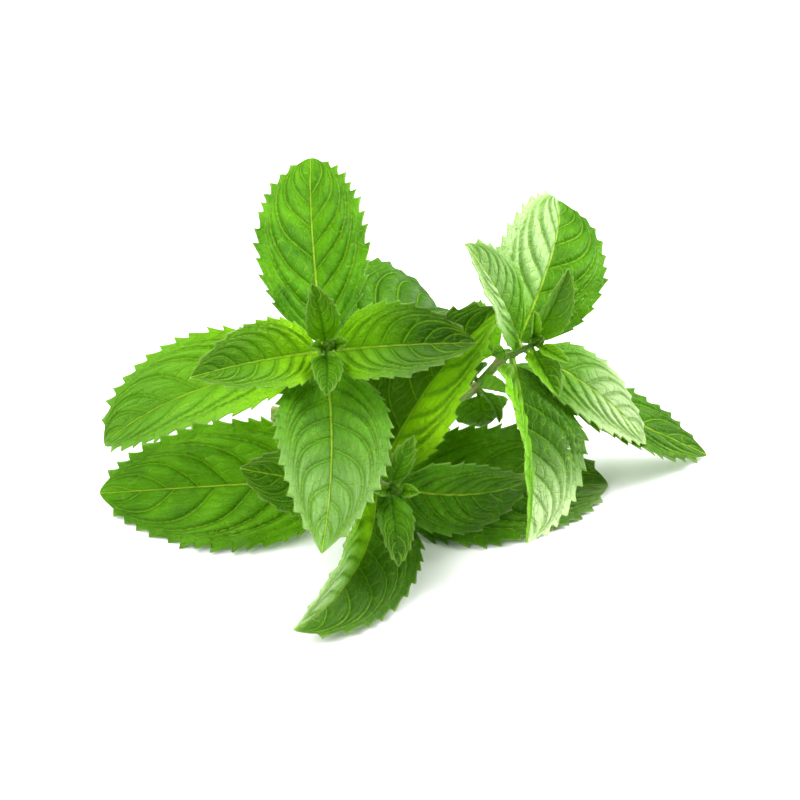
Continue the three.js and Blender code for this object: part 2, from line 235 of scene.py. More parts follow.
MIDRIB_DEPTH = 0.9  # how far the midrib stands out below the blade
MIDRIB_REACH = 0.9  # how far its rib reaches to either side
GROOVE_DEPTH = 0.35  # of the groove above it
GROOVE_REACH = 1.1
VEIN_DEPTH = 0.3  # how far the side veins stand out below the blade
VEIN_REACH = 0.4
LEFT_VEIN_START = (0.2, 0.4)  # how far the count of side veins has come at the blade's base
RIGHT_VEIN_START = (0.65, 0.85)
VEIN_RISE = 0.2  # how far a side vein's straight part runs towards the tip, of the blade's length
VEIN_SWEEP = 0.52  # and how much further it has swept on at the margin
VEIN_POWER = 5  # how late it begins to sweep on
VEIN_UNEVENNESS = 0.02
VEIN_SLANT = 1.4  # how much longer a side vein is than its reach across the blade
PANEL_SKEW = 0.75  # below 1, as a panel is highest a little nearer the base
PANEL_ROUNDNESS = 0.7  # the lower it is, the flatter a panel's top
LADDER_RELIEF = 0.3  # how much higher a panel rises between the cross veins that divide it
MARGIN_WAVES = 0.016  # how far a margin waves up and down, for each mm of the leaf's width

FIRST_TOOTH = 0.1  # the share of the blade's length where the teeth begin
LAST_TOOTH = 0.92
TOOTH_STEPS = (0.75, 1.25)  # from one notch to the next, next to the mean
TOOTH_SIZES = (0.7, 1.15)
TOOTH_POINT = 0.9  # where a tooth's point is, from its notch on the root's side to the next
TOOTH_CURVE = 1.7  # how much a tooth's long side curves
TOOTH_REACH = 0.9  # how far a tooth's point reaches sideways, for each mm of its depth
TOOTH_LEAN = 0.5  # and how far it leans towards the tip
NOTCH_INSET = 0.0093  # how far the notches lie inside the outline, for each mm of length
MARGIN_POWER = 9  # how close to the margin the blade begins to reach out into its teeth

MAP_GAP = 0.01  # around a leaf's faces in the bake's map
MAP_WIDTH = 0.46  # of the map, for each of a leaf's two faces
MAP_RIM = 0.485  # where the strip with the rim's faces is
MAP_RIM_WIDTH = 0.008

STEM_SIDES = 32
STEM_STEPS = 14  # for each internode

# ---------------------------------------------------------------------------------------------
# Vectors and curves


def unit(vector):
    return vector / np.linalg.norm(vector)


def between(start, towards, degrees):
    """The unit vector at an angle from one unit vector towards another that is square to it."""
    return start * math.cos(math.radians(degrees)) + towards * math.sin(math.radians(degrees))


def square_to(direction, vector):
    return unit(vector - direction * (vector @ direction))


def smooth(value, low, high):
    """0 up to low, 1 from high, and a smooth step between them."""
    share = np.clip((value - low) / (high - low), 0, 1)
    return share * share * (3 - 2 * share)


def bell(value, width):
    return np.exp(-((value / width) ** 2))


def stem_curve(nodes, steps):
    """Points, directions and radii along a stem, and how many nodes back from its tip each is."""
    knots = np.array(nodes, float)
    places = knots[:, :3]
    padded = np.vstack([2 * places[0] - places[1], places, 2 * places[-1] - places[-2]])
    station = np.linspace(0, len(nodes) - 1, (len(nodes) - 1) * steps + 1)
    first = np.minimum(station.astype(int), len(nodes) - 2)
    t = (station - first)[:, None]
    before, start, end, after = (padded[first + k] for k in range(4))
    leave = (end - before) / 2
    arrive = (after - start) / 2
    turn = 3 * (end - start) - 2 * leave - arrive
    settle = 2 * (start - end) + leave + arrive
    points = start + leave * t + turn * t**2 + settle * t**3
    tangents = leave + 2 * turn * t + 3 * settle * t**2
    tangents /= np.linalg.norm(tangents, axis=1)[:, None]
    radii = np.interp(station, range(len(nodes)), knots[:, 3])
    return points, tangents, radii, station


def node_frame(nodes, node):
    """The point, the direction towards the tip and the radius at one node of a stem."""
    knots = np.array(nodes, float)
    axis = unit(knots[max(node - 1, 0), :3] - knots[node + 1, :3])
    return knots[node, :3], axis, knots[node, 3]


# ---------------------------------------------------------------------------------------------
# Meshes


def add_piece(name, mesh):
    piece = bpy.data.objects.new(name, mesh)
    bpy.context.scene.collection.objects.link(piece)
    return piece


def make_piece(name, points, faces, attributes, materials, corner_map=None, slots=None, flat=None):
    """A mesh piece from points in mm and polygons, with numbers stored at its points."""
    mesh = bpy.data.meshes.new(name)
    sizes = np.array([len(face) for face in faces])
    corners = np.concatenate([np.asarray(face) for face in faces])
    mesh.vertices.add(len(points))
    mesh.vertices.foreach_set("co", (points * MM).astype(np.float32).ravel())
    mesh.loops.add(len(corners))
    mesh.loops.foreach_set("vertex_index", corners.astype(np.int32))
    mesh.polygons.add(len(sizes))
    mesh.polygons.foreach_set("loop_start", (np.cumsum(sizes) - sizes).astype(np.int32))
    mesh.update(calc_edges=True)
    shaded = np.ones(len(sizes), bool) if flat is None else ~flat
    mesh.polygons.foreach_set("use_smooth", shaded)
    if slots is not None:
        mesh.polygons.foreach_set("material_index", slots.astype(np.int32))
    for key, values in attributes.items():
        kind = "FLOAT_VECTOR" if values.ndim == 2 else "FLOAT"
        field = "vector" if values.ndim == 2 else "value"
        layer = mesh.attributes.new(key, kind, "POINT")
        layer.data.foreach_set(field, values.astype(np.float32).ravel())
    if corner_map is not None:
        layer = mesh.uv_layers.new(name="OFBake")
        layer.uv.foreach_set("vector", corner_map.astype(np.float32).ravel())
    for material in materials:
        mesh.materials.append(material)
    mesh.validate()
    return add_piece(name, mesh)


def grid_faces(rows, columns, first=0, flip=False):
    """Quads of a grid of points, seen counter-clockwise with the columns running to the right."""
    row, column = np.meshgrid(np.arange(rows - 1), np.arange(columns - 1), indexing="ij")
    a = (first + row * columns + column).ravel()
    quads = np.stack([a, a + 1, a + columns + 1, a + columns], axis=1)
    return quads[:, ::-1] if flip else quads


def tube_faces(rows, columns):
    """Quads of a grid whose last column of points joins its first."""
    row, column = np.divmod(grid_faces(rows, columns + 1), columns + 1)
    return row * columns + column % columns


# ---------------------------------------------------------------------------------------------
# Leaves
#
# A place on a blade is told by u, from 0 at its base to 1 at its tip, and v, from 1 at its left
# margin to -1 at its right one.


def outline(u, base_power):
    """A leaf's half width there, next to its largest."""
    widest = base_power / (base_power + OUTLINE_TIP_POWER)
    curve = lambda share: share**base_power * (1 - share) ** OUTLINE_TIP_POWER
    return curve(np.clip(u, 0, 1)) / curve(widest)


def tooth_profile(u, count, draw):
    """0 at the notches of a margin and rising to about 1 at the points of its teeth."""
    steps = np.array([draw.uniform(*TOOTH_STEPS) for _ in range(count)])
    share = np.append(0, np.cumsum(steps)) / steps.sum()
    notches = FIRST_TOOTH + (LAST_TOOTH - FIRST_TOOTH) * share
    sizes = np.array([draw.uniform(*TOOTH_SIZES) for _ in range(count)] + [0])
    tooth = np.clip(np.searchsorted(notches, u, side="right") - 1, 0, count)
    ends = np.append(notches[1:], 1)
    within = np.clip((u - notches[tooth]) / (ends[tooth] - notches[tooth]), 0, 1)
    rising = (within / TOOTH_POINT) ** TOOTH_CURVE
    falling = (1 - within) / (1 - TOOTH_POINT)
    profile = np.where(within < TOOTH_POINT, rising, falling) * sizes[tooth]
    return np.where(u < FIRST_TOOTH, 0, profile)


def midrib_curve(leaf, rows):
    """Points, normals and left sides along a leaf's midrib, in the leaf's own frame."""
    petiole = leaf.petiole or PETIOLE_BASE_LENGTH + PETIOLE_PER_LENGTH * leaf.length
    step_length = (petiole + leaf.length) / rows
    point = np.zeros(3)
    forward, normal, left = np.array([0, 1, 0.0]), np.array([0, 0, 1.0]), np.array([-1.0, 0, 0])
    frames = [(point, normal, left)]
    for step in np.arange(rows) + 0.5:
        down = math.radians(leaf.droop * (0.5 + step / rows)) / rows
        sideways = math.radians(leaf.bend) / rows
        turning = math.radians(leaf.twist) / rows
        before = forward
        forward = unit(forward - normal * down + left * sideways)
        normal = square_to(forward, normal + before * down + left * turning)
        left = np.cross(normal, forward)
        point = point + unit(before + forward) * step_length
        frames.append((point, normal, left))
    points, normals, lefts = (np.array(part) for part in zip(*frames))
    return points, normals, lefts, petiole / (petiole + leaf.length)


def vein_pattern(leaf, kind, u, v, half, draw):
    """Where a blade's veins run.

    The first value counts the side veins from the base and is whole on each of them, and the
    second is how fast it counts, for each mm. The third counts the cross veins between two side
    veins, and the last is how clearly the veins show.
    """
    a = np.abs(v)
    count = draw.uniform(*kind.vein_count)
    first = np.where(v > 0, draw.uniform(*LEFT_VEIN_START), draw.uniform(*RIGHT_VEIN_START))
    leaves_at = u - VEIN_RISE * a - VEIN_SWEEP * a**VEIN_POWER
    shift = np.where(v > 0, draw.uniform(0, 6), draw.uniform(0, 6))
    phase = count * (leaves_at + VEIN_UNEVENNESS * np.sin(9 * leaves_at + shift)) + first
    across_rate = VEIN_RISE + VEIN_POWER * VEIN_SWEEP * a ** (VEIN_POWER - 1)
    rate = count * np.hypot(1 / leaf.length, across_rate / np.maximum(half, 0.5))
    rungs = a * half * VEIN_SLANT / kind.ladder_step
    rungs = rungs + 0.37 * np.floor(phase) + 0.35 * np.sin(5 * phase)
    shows = smooth(phase, 0.4, 0.75) * (1 - smooth(a, 0.72, 0.95))
    shows = shows * smooth(u, 0, BLADE_START) * smooth(1 - u, 0.02, 0.1)
    return phase, rate, rungs, shows


def blade_relief(leaf, kind, u, v, half, size, phase, rungs, draw):
    """How far the upper face rises: quilted panels, a groove along the midrib, a wavy margin."""
    a = np.abs(v)
    on_blade = smooth(u, 0, BLADE_START)
    bulge = (phase - np.floor(phase)) ** PANEL_SKEW
    panels = np.abs(np.sin(math.pi * bulge)) ** PANEL_ROUNDNESS * (1 - 0.75 * smooth(a, 0.6, 1))
    panels = panels * (1 + LADDER_RELIEF * np.abs(np.sin(math.pi * rungs)) ** PANEL_ROUNDNESS)
    panels = panels * (0.4 + 0.6 * smooth(a * half / leaf.width, 0.02, 0.16))
    waves = sum(
        math.sin(k) * np.sin(2 * math.pi * (u * k * 1.3 + draw.random()) + np.sign(v) * k)
        for k in (2, 3, 4)
    )
    relief = leaf.width * kind.quilting * size**0.6 * panels * on_blade
    relief = relief - GROOVE_DEPTH * on_blade * bell(v * half, GROOVE_REACH) * (1 - 0.5 * u)
    return relief + MARGIN_WAVES * leaf.width * waves * a**3 * size


def colour_fields(leaf, u, x):
    """How yellow and dark a blade is at each place, with its painted light and shade, and how far a
    painted highlight washes it out.
    """
    side = np.tanh(x / 0.6)  # 1 on the left half and -1 on the right one
    washed_out = smooth(u, leaf.pale_from - 0.3, leaf.pale_from + 0.3)
    return {
        # lit paints light on one half, yellower and less dark than the other
        "yellow": np.clip(leaf.yellow * (1 - 0.8 * smooth(u, 0, 0.9)) + leaf.lit * side, 0, 2),
        "dark": np.clip(leaf.dark * smooth(u, 0.15, 0.85) - leaf.lit * side, 0, 1),
        "pale": leaf.pale * washed_out * np.clip(1 + leaf.pale_half * side, 0, 1),
    }


def blade_surfaces(leaf, kind, draw):
    """A blade's upper and lower points in the leaf's own frame, and what its material reads."""
    rows, columns = kind.grid
    points, normals, lefts, petiole_share = midrib_curve(leaf, rows)
    along = np.linspace(0, 1, rows + 1)[:, None]
    u = np.clip((along - petiole_share) / (1 - petiole_share), 0, 1)
    v = np.linspace(1, -1, columns)[None, :]
    a = np.abs(v)
    size = outline(u, kind.base_power)
    least = np.where(u < 0.5, PETIOLE_WIDTH / 2, TIP_HALF_WIDTH)
    half = np.maximum(leaf.width / 2 * size, least)
    x = v * half

    phase, vein_rate, rungs, veined = vein_pattern(leaf, kind, u, v, half, draw)
    relief = blade_relief(leaf, kind, u, v, half, size, phase, rungs, draw)
    count = max(kind.least_teeth, round(leaf.length / kind.tooth_spacing))
    teeth = np.where(v > 0, tooth_profile(u, count, draw), tooth_profile(u, count, draw))
    flare = a**MARGIN_POWER * smooth(size, 0, 0.35)
    depth = leaf.length * kind.tooth_depth * teeth * flare
    inset = leaf.length * NOTCH_INSET * flare * smooth(u, 0, BLADE_START)
    reach = a * half + TOOTH_REACH * depth - inset

    rise = np.radians(leaf.fold + leaf.cup * a / 2)
    rise = rise * (ROOT_FOLD + (1 - ROOT_FOLD) * np.minimum(along / FULL_FOLD_AT, 1))
    left, normal = lefts[:, None, :], normals[:, None, :]
    inwards = left * (np.tanh(v * 6) * np.sin(rise))[..., None]
    facing = normal * np.cos(rise)[..., None] - inwards
    upper = (
        points[:, None, :]
        + left * (np.sign(v) * reach * np.cos(rise))[..., None]
        + normal * (reach * np.sin(rise))[..., None]
        + np.cross(left, normal) * (TOOTH_LEAN * depth)[..., None]
        + facing * relief[..., None]
    )
    stalk = 1 - smooth(u, 0, STALK_END)
    vein_gap = np.abs(phase - np.round(phase)) / vein_rate
    ribs = MIDRIB_DEPTH * bell(x, MIDRIB_REACH) * (1 - 0.8 * u)
    ribs = ribs + VEIN_DEPTH * bell(vein_gap, VEIN_REACH) * veined
    thickness = kind.thickness * (1 + STALK_THICKENING * stalk)
    thickness = thickness + kind.rib_share * ribs * (1 - a**4)
    lower = upper - facing * thickness[..., None]

    flat = np.zeros_like(x)
    fields = {
        "blade_mm": np.stack([x, u * leaf.length + flat, flat + draw.uniform(0, 100)], axis=-1),
        "phase": phase,
        "vein_rate": vein_rate,
        "rungs": rungs,
        "veined": veined * kind.vein_clarity,
        "midrib": np.abs(x) / (kind.midrib_width * (1 - 0.65 * u)),
        "margin": (1 - a) * half,
        "toothed": teeth * (a > 0.99),
        "young": flat + (kind is SMALL_LEAF),
        **colour_fields(leaf, u, x),
    }
    return upper, lower, fields


def leaf_placing(nodes, leaf):
    """A leaf's right, forward and normal directions, its root, and the way into the stem."""
    point, axis, radius = node_frame(nodes, leaf.node)
    upward = square_to(axis, np.array([0, 0, 1.0]))
    outward = between(upward, np.cross(upward, axis), leaf.turn)
    forward = between(axis, outward, leaf.spread)
    flat_normal = between(axis, outward, leaf.spread - 90)
    normal = between(flat_normal, np.cross(flat_normal, forward), leaf.roll)
    root = point + outward * (radius + LEAF_ROOT_GAP) + axis * leaf.along
    inside = -outward * (LEAF_ROOT_GAP + radius * STALK_DEPTH)
    return np.array([np.cross(forward, normal), forward, normal]), root, inside


def leaf_surfaces(leaf, nodes):
    """A leaf's upper and lower grids of points in the part's frame, and its fields."""
    kind = LARGE_LEAF if leaf.length > SMALL_LEAF_LENGTH else SMALL_LEAF
    draw = random.Random(f"{leaf.name} {leaf.turn} {leaf.length}")
    upper, lower, fields = blade_surfaces(leaf, kind, draw)
    basis, root, inside = leaf_placing(nodes, leaf)
    upper, lower = upper @ basis + root, lower @ basis + root
    for points in (upper, lower):
        points[..., 2] = np.maximum(points[..., 2], LEAST_HEIGHT)
    back = np.linspace(1, 0, STALK_ROWS, endpoint=False)[:, None, None] * inside
    upper = np.concatenate([upper[:1] + back, upper])
    lower = np.concatenate([lower[:1] + back, lower])
    for key, field in fields.items():
        fields[key] = np.concatenate([np.repeat(field[:1], STALK_ROWS, 0), field])
    return upper, lower, fields


def shell_faces(rows, columns):
    """Faces of the closed shell between an upper and a lower grid: upper, lower and rim."""
    size = rows * columns
    left, right = np.arange(rows) * columns, np.arange(rows) * columns + columns - 1
    root, tip = np.arange(columns), np.arange(columns) + size - columns
    rims = []
    for edge, flip in ((left, False), (right, True), (root, True), (tip, False)):
        strip = np.stack([edge[:-1], edge[1:], edge[1:] + size, edge[:-1] + size], axis=1)
        rims.append(strip[:, ::-1] if flip else strip)
    lower = grid_faces(rows, columns, size, flip=True)
    return grid_faces(rows, columns), lower, np.concatenate(rims)


def shell_map(rows, columns, upper_faces, lower_faces, rim_faces):
    """Where each face corner lies in the bake's map: upper face on the left, lower on the right."""
    size = rows * columns
    row, column = np.divmod(np.arange(2 * size) % size, columns)
    down = MAP_GAP + (1 - 2 * MAP_GAP) * row / (rows - 1)
    over = MAP_GAP + MAP_WIDTH * column / (columns - 1)
    is_lower = np.arange(2 * size) >= size
    blade = np.stack([over + 0.5 * is_lower, down], axis=1)
    rim = MAP_RIM + MAP_RIM_WIDTH * is_lower + MAP_GAP * (column > columns / 2)
    rim = np.stack([rim, down], axis=1)
    faces = np.concatenate([upper_faces, lower_faces])
    return np.concatenate([blade[faces.ravel()], rim[rim_faces.ravel()]])


def leaf_shell(upper, lower, fields):
    """A leaf's closed shell: its points, faces, fields, bake map, material slots and flat faces."""
    rows, columns = upper.shape[:2]
    size = rows * columns
    parts = shell_faces(rows, columns)
    counts = [len(part) for part in parts]
    return (
        np.concatenate([upper.reshape(-1, 3), lower.reshape(-1, 3)]),
        np.concatenate(parts),
        {key: np.concatenate([f.reshape(size, *f.shape[2:])] * 2) for key, f in fields.items()},
        shell_map(rows, columns, *parts),
        np.repeat([0, 1, 0], counts),
        np.repeat([False, False, True], counts),
    )


def leaf_piece(shoot, nodes, leaf, materials):
    """One finished leaf, which stands for its node of the frame."""
    points, faces, fields, corner_map, slots, flat = leaf_shell(*leaf_surfaces(leaf, nodes))
    node = f"{shoot}_leaf_{leaf.name}"
    piece = make_piece(f"{node}_blade", points, faces, fields, materials, corner_map, slots, flat)
    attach(piece, "root")
    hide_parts(node)
    return piece


# ---------------------------------------------------------------------------------------------
# Stems

SKIN_SHARE = 0.9  # of the CAD stem's radius, as a square stem's corners stand further out
CORNER_SHARE = 0.16  # how much further out a square stem's corners are than its middle radius
CORNER_ROUNDING = 0.03
NODE_SWELLING = 0.3
SWELLING_STEPS = 1.6  # how far the swelling reaches from a node, in steps of the stem
BLUSH_STEPS = 1.8  # and the pink of the node
STREAK_LENGTH = 12  # of an internode, for the streaks of its skin
CUT_RINGS = ((0.82, 0.12), (0.45, 0.3), (0.3, -0.25))  # of the cut end: share of radius and depth


def near_nodes(station, reach):
    """1 at the nodes of a stem, and falling to 0 between them."""
    return bell(np.abs(station - np.round(station)) * STEM_STEPS, reach)


def stem_piece(shoot, nodes, materials):
    """A four-sided stem, swollen at its nodes, with a cut end."""
    points, tangents, radii, station = stem_curve(nodes, STEM_STEPS)
    angle = np.arange(STEM_SIDES) * 2 * math.pi / STEM_SIDES
    square = 1 + CORNER_SHARE * np.cos(4 * angle) - CORNER_ROUNDING * np.cos(8 * angle)
    reaches = radii * (1 + NODE_SWELLING * near_nodes(station, SWELLING_STEPS)) * SKIN_SHARE
    rings = []
    side = np.array([0, 1.0, 0])
    for point, tangent, reach in zip(points, tangents, reaches):
        side = square_to(tangent, side)
        other = np.cross(tangent, side)
        out = np.cos(angle)[:, None] * side + np.sin(angle)[:, None] * other
        rings.append(point + out * (reach * square)[:, None])
    walls = len(rings)
    last, middle = rings[-1], rings[-1].mean(axis=0)
    rings += [middle + (last - middle) * share - tangents[-1] * deep for share, deep in CUT_RINGS]
    grid = np.array(rings)
    grid[..., 2] = np.maximum(grid[..., 2], LEAST_HEIGHT)

    caps = [np.arange(STEM_SIDES), (len(rings) - 1) * STEM_SIDES + np.arange(STEM_SIDES)[::-1]]
    slots = np.repeat([0, 1], [(walls - 1) * STEM_SIDES, len(CUT_RINGS) * STEM_SIDES])
    along = np.repeat(np.append(station, [station[-1]] * len(CUT_RINGS)), STEM_SIDES)
    near_node = near_nodes(along, BLUSH_STEPS)
    around = np.tile(angle, len(rings))
    fields = {
        "near_node": near_node,
        "stem_place": np.stack([around, along * STREAK_LENGTH, near_node], axis=1),
        "cut": np.repeat([0.0] * walls + [1 - share for share, _ in CUT_RINGS], STEM_SIDES),
        "age": np.clip(along / len(nodes), 0, 1),
    }
    faces = list(tube_faces(len(rings), STEM_SIDES)[:, ::-1]) + caps
    piece = make_piece(
        f"{shoot}_stem_skin", grid.reshape(-1, 3), faces, fields, materials,
        slots=np.append(slots, [0, 1]),
    )
    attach(piece, "root")
    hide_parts(f"{shoot}_stem")
    return piece


# ---------------------------------------------------------------------------------------------
# Buds

BUD_LEAVES = [
    Leaf("bud_a", 0, 10, 10, 0, 3.2, 2.8, -110, 0, 0, 20, 0, yellow=0.2, dark=0.6),
    Leaf("bud_b", 0, 190, 10, 0, 2.8, 2.8, -100, 0, 0, 20, 0, yellow=0.2, dark=0.6),
    Leaf("bud_c", 0, 55, 30, 0, 4, 3.4, -75, 0, 0, 15, 0, dark=0.9),
    Leaf("bud_d", 0, 145, 30, 0, 4, 3.4, -80, 0, 0, 15, 0, dark=0.9),
    Leaf("bud_e", 0, 235, 30, 0, 4, 3.4, -75, 0, 0, 15, 0, dark=0.9),
    Leaf("bud_f", 0, 325, 30, 0, 4, 3.4, -80, 0, 0, 15, 0, dark=0.9),
]
BUD_PULL = 0.75  # how much closer a bud's leaves stand to the stem's axis than other leaves
BUD_MARGIN = 0.3  # how much further in from its margin a bud's leaf counts as being


def bud_piece(shoot, nodes, materials):
    """A bud of tiny folded leaves around the tip of a stem, all in one piece."""
    tip, axis, _ = node_frame(nodes, 0)
    shells = []
    for leaf in BUD_LEAVES:
        upper, lower, fields = leaf_surfaces(leaf, nodes)
        fields["margin"] = fields["margin"] + BUD_MARGIN
        pull = BUD_PULL * square_to(axis, upper[STALK_ROWS].mean(axis=0) - tip)
        shells.append(leaf_shell(upper - pull, lower - pull, fields))
    points, faces, fields, maps, slots, flats = zip(*shells)
    count = len(shells)
    piece = make_piece(
        f"{shoot}_bud_leaves",
        np.concatenate(points),
        np.concatenate([part + number * len(points[0]) for number, part in enumerate(faces)]),
        {key: np.concatenate([part[key] for part in fields]) for key in fields[0]},
        materials,
        np.concatenate([m * [1 / count, 1] + [n / count, 0] for n, m in enumerate(maps)]),
        np.concatenate(slots),
        np.concatenate(flats),
    )
    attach(piece, "root")
    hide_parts(f"{shoot}_bud")
    return piece


# ---------------------------------------------------------------------------------------------
# Water drops

WATER_DROPS = [  # on a leaf: how far to its tip, how far to its left margin, and the radius in mm
    (0.42, 0.59, 0.4),
    (0.445, 0.64, 0.28),
    (0.465, 0.68, 0.5),
    (0.45, 0.72, 0.3),
    (0.435, 0.79, 0.35),
    (0.585, 0.8, 0.42),
    (0.59, 0.88, 0.25),
    (0.38, 0.66, 0.25),
]
WET_LEAF = ("main", "4_down")
DROP_GRID = (10, 18)
DROP_FOOT = -63  # the angle below its middle at which a drop's side ends, inside the leaf
DROP_HEIGHT = 0.6  # of its radius
DROP_LIFT = 0.3  # of its middle above the leaf's face, as a share of its radius
DROP_STRETCH = 1.15  # how much longer a drop is along the leaf than across it


def drops_piece(name, nodes, leaf, material):
    """Water drops on a leaf's upper face, in one piece."""
    upper, _, fields = leaf_surfaces(leaf, nodes)
    share = fields["blade_mm"][:, 0, 1] / leaf.length
    rise = np.radians(np.linspace(DROP_FOOT, 90, DROP_GRID[0]))[:, None, None]
    turn = np.linspace(0, 2 * math.pi, DROP_GRID[1], endpoint=False)[None, :, None]
    points, faces = [], []
    for number, (along, over, radius) in enumerate(WATER_DROPS):
        row = int(np.abs(share - along).argmin())
        column = round((1 - over) / 2 * (upper.shape[1] - 1))
        forward = unit(upper[row + 2, column] - upper[row - 2, column])
        normal = unit(np.cross(upper[row, column + 1] - upper[row, column - 1], forward))
        ring = np.cos(turn) * np.cross(forward, normal) + np.sin(turn) * forward * DROP_STRETCH
        drop = radius * (np.cos(rise) * ring + DROP_HEIGHT * np.sin(rise) * normal)
        points.append((drop + upper[row, column] + normal * radius * DROP_LIFT).reshape(-1, 3))
        faces.append(tube_faces(*DROP_GRID) + number * len(points[0]))
    piece = make_piece(name, np.concatenate(points), np.concatenate(faces), {}, [material])
    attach(piece, "root")
    return piece


# ---------------------------------------------------------------------------------------------
# Materials


def rgb(red, green, blue):
    """A colour in linear light from its usual values of 0 to 255."""
    parts = (c / 255 for c in (red, green, blue))
    return (*((c / 12.92 if c < 0.04045 else ((c + 0.055) / 1.055) ** 2.4) for c in parts), 1)


VEIN_SHADE = rgb(30, 92, 2)  # painted shade in the grooves of the upper face, beside its veins and midrib
LOWER_NET = rgb(140, 178, 84)
GLOW = rgb(190, 235, 10)  # of the light that comes through a leaf


class Shader:
    """A material's node tree, with short ways to add nodes and wire their inputs."""

    def __init__(self, name):
        self.material = bpy.data.materials.new(name)
        self.material.use_nodes = True
        self.tree = self.material.node_tree
        self.tree.nodes.clear()

    def add(self, kind, inputs=None, output=0, **settings):
        """Adds a node, sets or links its inputs, and returns one of its outputs."""
        node = self.tree.nodes.new(f"ShaderNode{kind}")
        for key, value in settings.items():
            setattr(node, key, value)
        for key, value in (inputs or {}).items():
            if isinstance(value, bpy.types.NodeSocket):
                self.tree.links.new(value, node.inputs[key])
            else:
                node.inputs[key].default_value = value
        return node.outputs[output]

    def field(self, name, output="Fac"):
        return self.add("Attribute", output=output, attribute_name=name)

    def maths(self, operation, a, b=0.0):
        return self.add("Math", {0: a, 1: b}, operation=operation)

    def times(self, a, b):
        return self.maths("MULTIPLY", a, b)

    def step(self, value, low, high):
        """0 up to low and 1 from high, or 1 up to high and 0 from low if low is the larger."""
        inputs = {"Value": value, "From Min": low, "From Max": high}
        return self.add("MapRange", inputs, interpolation_type="SMOOTHSTEP")

    def scaled(self, value, low, high):
        """A number from low to high, for a value from 0 to 1."""
        return self.add("MapRange", {"Value": value, "To Min": low, "To Max": high})

    def stretch(self, place, factors):
        return self.add("VectorMath", {0: place, 1: factors}, operation="MULTIPLY")

    def noise(self, place, scale, detail=2.0, roughness=0.5):
        inputs = {"Vector": place, "Scale": scale, "Detail": detail, "Roughness": roughness}
        return self.add("TexNoise", inputs)

    def cells(self, place, scale, feature="F1"):
        """Distances in a pattern of cells, to their middles or to their edges."""
        inputs = {"Vector": place, "Scale": scale}
        return self.add("TexVoronoi", inputs, output="Distance", feature=feature)

    def mix(self, share, a, b):
        """A mix of two colours."""
        return self.add("Mix", {0: share, 6: a, 7: b}, output=2, data_type="RGBA")

    def cover(self, colour, *layers):
        """A colour with others over it: where each shows, how much it covers there, and it."""
        for field, amount, other in layers:
            share = field if amount == 1 else self.times(field, amount)
            colour = self.mix(share, colour, other)
        return colour

    def bump(self, strength, distance, *parts):
        """A bump of the heights of several fields, each with its weight."""
        height = None
        for field, weight in parts:
            part = field if weight == 1 else self.times(field, weight)
            height = part if height is None else self.maths("ADD", height, part)
        return self.add("Bump", {"Height": height, "Strength": strength, "Distance": distance})

    def finish(self, surface):
        out = self.tree.nodes.new("ShaderNodeOutputMaterial")
        self.tree.links.new(surface, out.inputs["Surface"])
        return self.material

    def finish_thin(self, skin, glow, share):
        """Finishes a material that lets a share of the light through, in the colour of its glow."""
        front = self.add("BsdfPrincipled", skin)
        behind = self.add("BsdfTranslucent", {"Color": glow, "Normal": skin["Normal"]})
        return self.finish(self.add("MixShader", {0: share, 1: front, 2: behind}))


def leaf_veins(s):
    """Where each kind of vein shows on a leaf, from its midrib to its finest net: 0 to 1."""
    place = s.field("blade_mm", "Vector")
    midrib = s.step(s.field("midrib"), 1.25, 0.7)
    gap = s.maths("PINGPONG", s.field("phase"), 0.5)
    gap = s.maths("DIVIDE", gap, s.field("vein_rate"))
    side = s.times(s.step(gap, 0.22, 0.08), s.field("veined"))
    beside = s.times(s.step(gap, 0.85, 0.12), s.field("veined"))
    bent = s.stretch(place, (0.42, 0.3, 1))
    net = s.step(s.cells(bent, 1.0, "DISTANCE_TO_EDGE"), 0.07, 0.01)
    fine = s.step(s.cells(bent, 2.7, "DISTANCE_TO_EDGE"), 0.1, 0.02)
    rung = s.maths("PINGPONG", s.field("rungs"), 0.5)
    rung = s.times(s.step(rung, 0.1, 0.025), s.field("veined"))
    return place, midrib, side, beside, net, fine, rung


